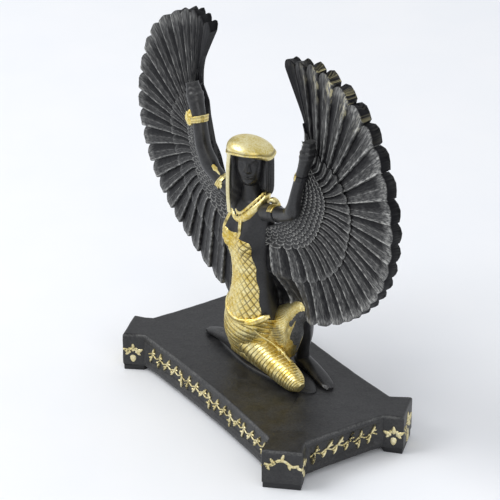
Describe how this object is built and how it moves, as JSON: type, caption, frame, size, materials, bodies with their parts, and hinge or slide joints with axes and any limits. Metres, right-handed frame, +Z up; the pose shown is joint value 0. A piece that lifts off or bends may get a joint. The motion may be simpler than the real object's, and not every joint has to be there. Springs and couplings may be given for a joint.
{
  "type": "egyptian goddess aquarium ornament",
  "caption": "Kneeling winged woman in old Egyptian dress, arms and fanned wings raised, cast in one with an oblong plinth with clipped corner piers.",
  "frame": {"origin": "middle of the footprint, on the surface that the four corner feet stand on", "axes": "+Z up; X along the plinth's long side; the figure's chest faces -Y, its head turned towards +X"},
  "size_m": [0.1856, 0.0846, 0.1914],
  "materials": {
    "painted_resin": "black painted cast resin with grey dry-brushing on the feathers",
    "gold_paint": "gold paint brushed over the black on dress, cap, collar, bracelets and plinth reliefs"
  },
  "bodies": {
    "root": {"goddess_casting": "painted_resin"}
  },
  "joints": []
}
